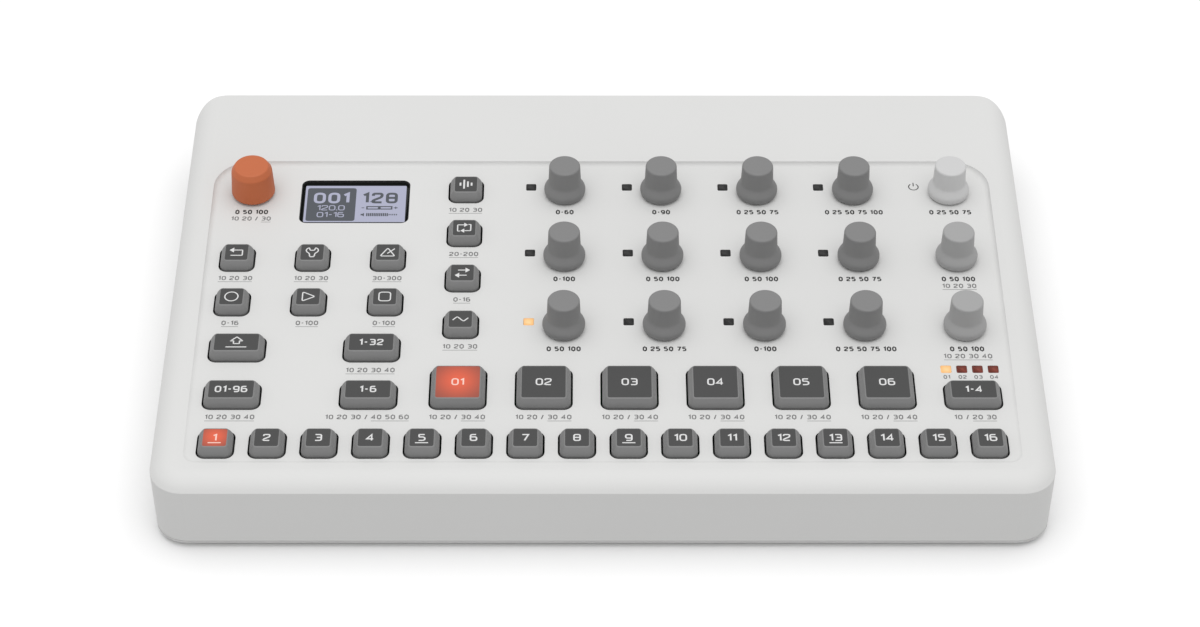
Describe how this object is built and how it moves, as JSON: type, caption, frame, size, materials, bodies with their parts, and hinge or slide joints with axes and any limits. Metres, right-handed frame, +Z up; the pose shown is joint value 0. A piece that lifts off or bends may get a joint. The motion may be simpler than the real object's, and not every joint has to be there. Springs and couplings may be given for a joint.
{
  "type": "groovebox",
  "caption": "Low desktop groovebox: a pale case with rows of backlit keys and pads, flared turning knobs, a small display and sockets in its rear wall.",
  "frame": {"origin": "centre of the footprint, on the table under the feet", "axes": "+X to the player's right, +Y to the rear with the sockets, +Z up out of the panel"},
  "size_m": [0.27, 0.1805, 0.039],
  "materials": {
    "case_white": "fine matte",
    "cover_grey": "fine matte",
    "board_green": "solder mask",
    "display_dark": "gloss",
    "socket_black": "matte",
    "rotor_black": "matte",
    "key_grey": "satin",
    "knob_dark": "satin",
    "knob_mid": "satin",
    "knob_pale": "satin",
    "knob_orange": "satin"
  },
  "bodies": {
    "case": {"top_case": "case_white", "bottom_cover": "cover_grey", "circuit_boards": "board_green", "display_module": "display_dark", "rear_jacks": "socket_black"},
    "step_key_01": {"step_key_01": "key_grey"},
    "step_key_02": {"step_key_02": "key_grey"},
    "step_key_03": {"step_key_03": "key_grey"},
    "step_key_04": {"step_key_04": "key_grey"},
    "step_key_05": {"step_key_05": "key_grey"},
    "step_key_06": {"step_key_06": "key_grey"},
    "step_key_07": {"step_key_07": "key_grey"},
    "step_key_08": {"step_key_08": "key_grey"},
    "step_key_09": {"step_key_09": "key_grey"},
    "step_key_10": {"step_key_10": "key_grey"},
    "step_key_11": {"step_key_11": "key_grey"},
    "step_key_12": {"step_key_12": "key_grey"},
    "step_key_13": {"step_key_13": "key_grey"},
    "step_key_14": {"step_key_14": "key_grey"},
    "step_key_15": {"step_key_15": "key_grey"},
    "step_key_16": {"step_key_16": "key_grey"},
    "pad_1": {"pad_1": "key_grey"},
    "pad_2": {"pad_2": "key_grey"},
    "pad_3": {"pad_3": "key_grey"},
    "pad_4": {"pad_4": "key_grey"},
    "pad_5": {"pad_5": "key_grey"},
    "pad_6": {"pad_6": "key_grey"},
    "back_key": {"back_key": "key_grey"},
    "save_key": {"save_key": "key_grey"},
    "tempo_key": {"tempo_key": "key_grey"},
    "record_key": {"record_key": "key_grey"},
    "play_key": {"play_key": "key_grey"},
    "stop_key": {"stop_key": "key_grey"},
    "mode_key_1": {"mode_key_1": "key_grey"},
    "mode_key_2": {"mode_key_2": "key_grey"},
    "mode_key_3": {"mode_key_3": "key_grey"},
    "mode_key_4": {"mode_key_4": "key_grey"},
    "shift_key": {"shift_key": "key_grey"},
    "repeat_key": {"repeat_key": "key_grey"},
    "pattern_key": {"pattern_key": "key_grey"},
    "track_key": {"track_key": "key_grey"},
    "page_key": {"page_key": "key_grey"},
    "parameter_knob_01": {"parameter_knob_01": "knob_dark"},
    "parameter_knob_02": {"parameter_knob_02": "knob_dark"},
    "parameter_knob_03": {"parameter_knob_03": "knob_dark"},
    "parameter_knob_04": {"parameter_knob_04": "knob_dark"},
    "parameter_knob_05": {"parameter_knob_05": "knob_dark"},
    "parameter_knob_06": {"parameter_knob_06": "knob_dark"},
    "parameter_knob_07": {"parameter_knob_07": "knob_dark"},
    "parameter_knob_08": {"parameter_knob_08": "knob_dark"},
    "parameter_knob_09": {"parameter_knob_09": "knob_dark"},
    "parameter_knob_10": {"parameter_knob_10": "knob_dark"},
    "parameter_knob_11": {"parameter_knob_11": "knob_dark"},
    "parameter_knob_12": {"parameter_knob_12": "knob_dark"},
    "volume_knob": {"volume_knob": "knob_pale"},
    "effect_knob_1": {"effect_knob_1": "knob_mid"},
    "effect_knob_2": {"effect_knob_2": "knob_mid"},
    "level_encoder_rotor": {"level_encoder_rotor": "rotor_black"},
    "level_knob": {"level_knob": "knob_orange"},
    "power_toggle": {"power_toggle": "socket_black"}
  },
  "joints": [
    {"name": "step_key_01_press", "type": "slide", "parent": "case", "child": "step_key_01", "axis": [0, 0, -1], "range_m": [0, 0.0012], "stiffness_N_per_m": 100, "springref_m": -0.003},
    {"name": "step_key_02_press", "type": "slide", "parent": "case", "child": "step_key_02", "axis": [0, 0, -1], "range_m": [0, 0.0012], "stiffness_N_per_m": 100, "springref_m": -0.003},
    {"name": "step_key_03_press", "type": "slide", "parent": "case", "child": "step_key_03", "axis": [0, 0, -1], "range_m": [0, 0.0012], "stiffness_N_per_m": 100, "springref_m": -0.003},
    {"name": "step_key_04_press", "type": "slide", "parent": "case", "child": "step_key_04", "axis": [0, 0, -1], "range_m": [0, 0.0012], "stiffness_N_per_m": 100, "springref_m": -0.003},
    {"name": "step_key_05_press", "type": "slide", "parent": "case", "child": "step_key_05", "axis": [0, 0, -1], "range_m": [0, 0.0012], "stiffness_N_per_m": 100, "springref_m": -0.003},
    {"name": "step_key_06_press", "type": "slide", "parent": "case", "child": "step_key_06", "axis": [0, 0, -1], "range_m": [0, 0.0012], "stiffness_N_per_m": 100, "springref_m": -0.003},
    {"name": "step_key_07_press", "type": "slide", "parent": "case", "child": "step_key_07", "axis": [0, 0, -1], "range_m": [0, 0.0012], "stiffness_N_per_m": 100, "springref_m": -0.003},
    {"name": "step_key_08_press", "type": "slide", "parent": "case", "child": "step_key_08", "axis": [0, 0, -1], "range_m": [0, 0.0012], "stiffness_N_per_m": 100, "springref_m": -0.003},
    {"name": "step_key_09_press", "type": "slide", "parent": "case", "child": "step_key_09", "axis": [0, 0, -1], "range_m": [0, 0.0012], "stiffness_N_per_m": 100, "springref_m": -0.003},
    {"name": "step_key_10_press", "type": "slide", "parent": "case", "child": "step_key_10", "axis": [0, 0, -1], "range_m": [0, 0.0012], "stiffness_N_per_m": 100, "springref_m": -0.003},
    {"name": "step_key_11_press", "type": "slide", "parent": "case", "child": "step_key_11", "axis": [0, 0, -1], "range_m": [0, 0.0012], "stiffness_N_per_m": 100, "springref_m": -0.003},
    {"name": "step_key_12_press", "type": "slide", "parent": "case", "child": "step_key_12", "axis": [0, 0, -1], "range_m": [0, 0.0012], "stiffness_N_per_m": 100, "springref_m": -0.003},
    {"name": "step_key_13_press", "type": "slide", "parent": "case", "child": "step_key_13", "axis": [0, 0, -1], "range_m": [0, 0.0012], "stiffness_N_per_m": 100, "springref_m": -0.003},
    {"name": "step_key_14_press", "type": "slide", "parent": "case", "child": "step_key_14", "axis": [0, 0, -1], "range_m": [0, 0.0012], "stiffness_N_per_m": 100, "springref_m": -0.003},
    {"name": "step_key_15_press", "type": "slide", "parent": "case", "child": "step_key_15", "axis": [0, 0, -1], "range_m": [0, 0.0012], "stiffness_N_per_m": 100, "springref_m": -0.003},
    {"name": "step_key_16_press", "type": "slide", "parent": "case", "child": "step_key_16", "axis": [0, 0, -1], "range_m": [0, 0.0012], "stiffness_N_per_m": 100, "springref_m": -0.003},
    {"name": "pad_1_press", "type": "slide", "parent": "case", "child": "pad_1", "axis": [0, 0, -1], "range_m": [0, 0.0008], "stiffness_N_per_m": 100, "springref_m": -0.003},
    {"name": "pad_2_press", "type": "slide", "parent": "case", "child": "pad_2", "axis": [0, 0, -1], "range_m": [0, 0.0008], "stiffness_N_per_m": 100, "springref_m": -0.003},
    {"name": "pad_3_press", "type": "slide", "parent": "case", "child": "pad_3", "axis": [0, 0, -1], "range_m": [0, 0.0008], "stiffness_N_per_m": 100, "springref_m": -0.003},
    {"name": "pad_4_press", "type": "slide", "parent": "case", "child": "pad_4", "axis": [0, 0, -1], "range_m": [0, 0.0008], "stiffness_N_per_m": 100, "springref_m": -0.003},
    {"name": "pad_5_press", "type": "slide", "parent": "case", "child": "pad_5", "axis": [0, 0, -1], "range_m": [0, 0.0008], "stiffness_N_per_m": 100, "springref_m": -0.003},
    {"name": "pad_6_press", "type": "slide", "parent": "case", "child": "pad_6", "axis": [0, 0, -1], "range_m": [0, 0.0008], "stiffness_N_per_m": 100, "springref_m": -0.003},
    {"name": "back_key_press", "type": "slide", "parent": "case", "child": "back_key", "axis": [0, 0, -1], "range_m": [0, 0.0012], "stiffness_N_per_m": 100, "springref_m": -0.003},
    {"name": "save_key_press", "type": "slide", "parent": "case", "child": "save_key", "axis": [0, 0, -1], "range_m": [0, 0.0012], "stiffness_N_per_m": 100, "springref_m": -0.003},
    {"name": "tempo_key_press", "type": "slide", "parent": "case", "child": "tempo_key", "axis": [0, 0, -1], "range_m": [0, 0.0012], "stiffness_N_per_m": 100, "springref_m": -0.003},
    {"name": "record_key_press", "type": "slide", "parent": "case", "child": "record_key", "axis": [0, 0, -1], "range_m": [0, 0.0012], "stiffness_N_per_m": 100, "springref_m": -0.003},
    {"name": "play_key_press", "type": "slide", "parent": "case", "child": "play_key", "axis": [0, 0, -1], "range_m": [0, 0.0012], "stiffness_N_per_m": 100, "springref_m": -0.003},
    {"name": "stop_key_press", "type": "slide", "parent": "case", "child": "stop_key", "axis": [0, 0, -1], "range_m": [0, 0.0012], "stiffness_N_per_m": 100, "springref_m": -0.003},
    {"name": "mode_key_1_press", "type": "slide", "parent": "case", "child": "mode_key_1", "axis": [0, 0, -1], "range_m": [0, 0.0012], "stiffness_N_per_m": 100, "springref_m": -0.003},
    {"name": "mode_key_2_press", "type": "slide", "parent": "case", "child": "mode_key_2", "axis": [0, 0, -1], "range_m": [0, 0.0012], "stiffness_N_per_m": 100, "springref_m": -0.003},
    {"name": "mode_key_3_press", "type": "slide", "parent": "case", "child": "mode_key_3", "axis": [0, 0, -1], "range_m": [0, 0.0012], "stiffness_N_per_m": 100, "springref_m": -0.003},
    {"name": "mode_key_4_press", "type": "slide", "parent": "case", "child": "mode_key_4", "axis": [0, 0, -1], "range_m": [0, 0.0012], "stiffness_N_per_m": 100, "springref_m": -0.003},
    {"name": "shift_key_press", "type": "slide", "parent": "case", "child": "shift_key", "axis": [0, 0, -1], "range_m": [0, 0.0012], "stiffness_N_per_m": 100, "springref_m": -0.003},
    {"name": "repeat_key_press", "type": "slide", "parent": "case", "child": "repeat_key", "axis": [0, 0, -1], "range_m": [0, 0.0012], "stiffness_N_per_m": 100, "springref_m": -0.003},
    {"name": "pattern_key_press", "type": "slide", "parent": "case", "child": "pattern_key", "axis": [0, 0, -1], "range_m": [0, 0.0012], "stiffness_N_per_m": 100, "springref_m": -0.003},
    {"name": "track_key_press", "type": "slide", "parent": "case", "child": "track_key", "axis": [0, 0, -1], "range_m": [0, 0.0012], "stiffness_N_per_m": 100, "springref_m": -0.003},
    {"name": "page_key_press", "type": "slide", "parent": "case", "child": "page_key", "axis": [0, 0, -1], "range_m": [0, 0.0012], "stiffness_N_per_m": 100, "springref_m": -0.003},
    {"name": "parameter_knob_01_turn", "type": "hinge", "parent": "case", "child": "parameter_knob_01", "pos_m": [-0.01194, 0.04194, 0.035], "axis": [0, 0, 1], "continuous": true},
    {"name": "parameter_knob_02_turn", "type": "hinge", "parent": "case", "child": "parameter_knob_02", "pos_m": [0.01915, 0.04194, 0.035], "axis": [0, 0, 1], "continuous": true},
    {"name": "parameter_knob_03_turn", "type": "hinge", "parent": "case", "child": "parameter_knob_03", "pos_m": [0.05024, 0.04194, 0.035], "axis": [0, 0, 1], "continuous": true},
    {"name": "parameter_knob_04_turn", "type": "hinge", "parent": "case", "child": "parameter_knob_04", "pos_m": [0.08133, 0.04194, 0.035], "axis": [0, 0, 1], "continuous": true},
    {"name": "parameter_knob_05_turn", "type": "hinge", "parent": "case", "child": "parameter_knob_05", "pos_m": [-0.01194, 0.00986, 0.035], "axis": [0, 0, 1], "continuous": true},
    {"name": "parameter_knob_06_turn", "type": "hinge", "parent": "case", "child": "parameter_knob_06", "pos_m": [0.01915, 0.00986, 0.035], "axis": [0, 0, 1], "continuous": true},
    {"name": "parameter_knob_07_turn", "type": "hinge", "parent": "case", "child": "parameter_knob_07", "pos_m": [0.05024, 0.00986, 0.035], "axis": [0, 0, 1], "continuous": true},
    {"name": "parameter_knob_08_turn", "type": "hinge", "parent": "case", "child": "parameter_knob_08", "pos_m": [0.08133, 0.00986, 0.035], "axis": [0, 0, 1], "continuous": true},
    {"name": "parameter_knob_09_turn", "type": "hinge", "parent": "case", "child": "parameter_knob_09", "pos_m": [-0.01194, -0.02222, 0.035], "axis": [0, 0, 1], "continuous": true},
    {"name": "parameter_knob_10_turn", "type": "hinge", "parent": "case", "child": "parameter_knob_10", "pos_m": [0.01915, -0.02222, 0.035], "axis": [0, 0, 1], "continuous": true},
    {"name": "parameter_knob_11_turn", "type": "hinge", "parent": "case", "child": "parameter_knob_11", "pos_m": [0.05024, -0.02222, 0.035], "axis": [0, 0, 1], "continuous": true},
    {"name": "parameter_knob_12_turn", "type": "hinge", "parent": "case", "child": "parameter_knob_12", "pos_m": [0.08133, -0.02222, 0.035], "axis": [0, 0, 1], "continuous": true},
    {"name": "volume_knob_turn", "type": "hinge", "parent": "case", "child": "volume_knob", "pos_m": [0.11242, 0.04194, 0.035], "axis": [0, 0, 1], "range_deg": [-150, 150]},
    {"name": "effect_knob_1_turn", "type": "hinge", "parent": "case", "child": "effect_knob_1", "pos_m": [0.11242, 0.00986, 0.035], "axis": [0, 0, 1], "continuous": true},
    {"name": "effect_knob_2_turn", "type": "hinge", "parent": "case", "child": "effect_knob_2", "pos_m": [0.11242, -0.02222, 0.035], "axis": [0, 0, 1], "continuous": true},
    {"name": "level_knob_turn", "type": "hinge", "parent": "case", "child": "level_encoder_rotor", "pos_m": [-0.11284, 0.04194, 0.035], "axis": [0, 0, 1], "continuous": true},
    {"name": "level_knob_push", "type": "slide", "parent": "level_encoder_rotor", "child": "level_knob", "axis": [0, 0, -1], "range_m": [0, 0.0005], "stiffness_N_per_m": 300, "springref_m": -0.003},
    {"name": "power_toggle_slide", "type": "slide", "parent": "case", "child": "power_toggle", "axis": [-1, 0, 0], "range_m": [0, 0.003]}
  ]
}
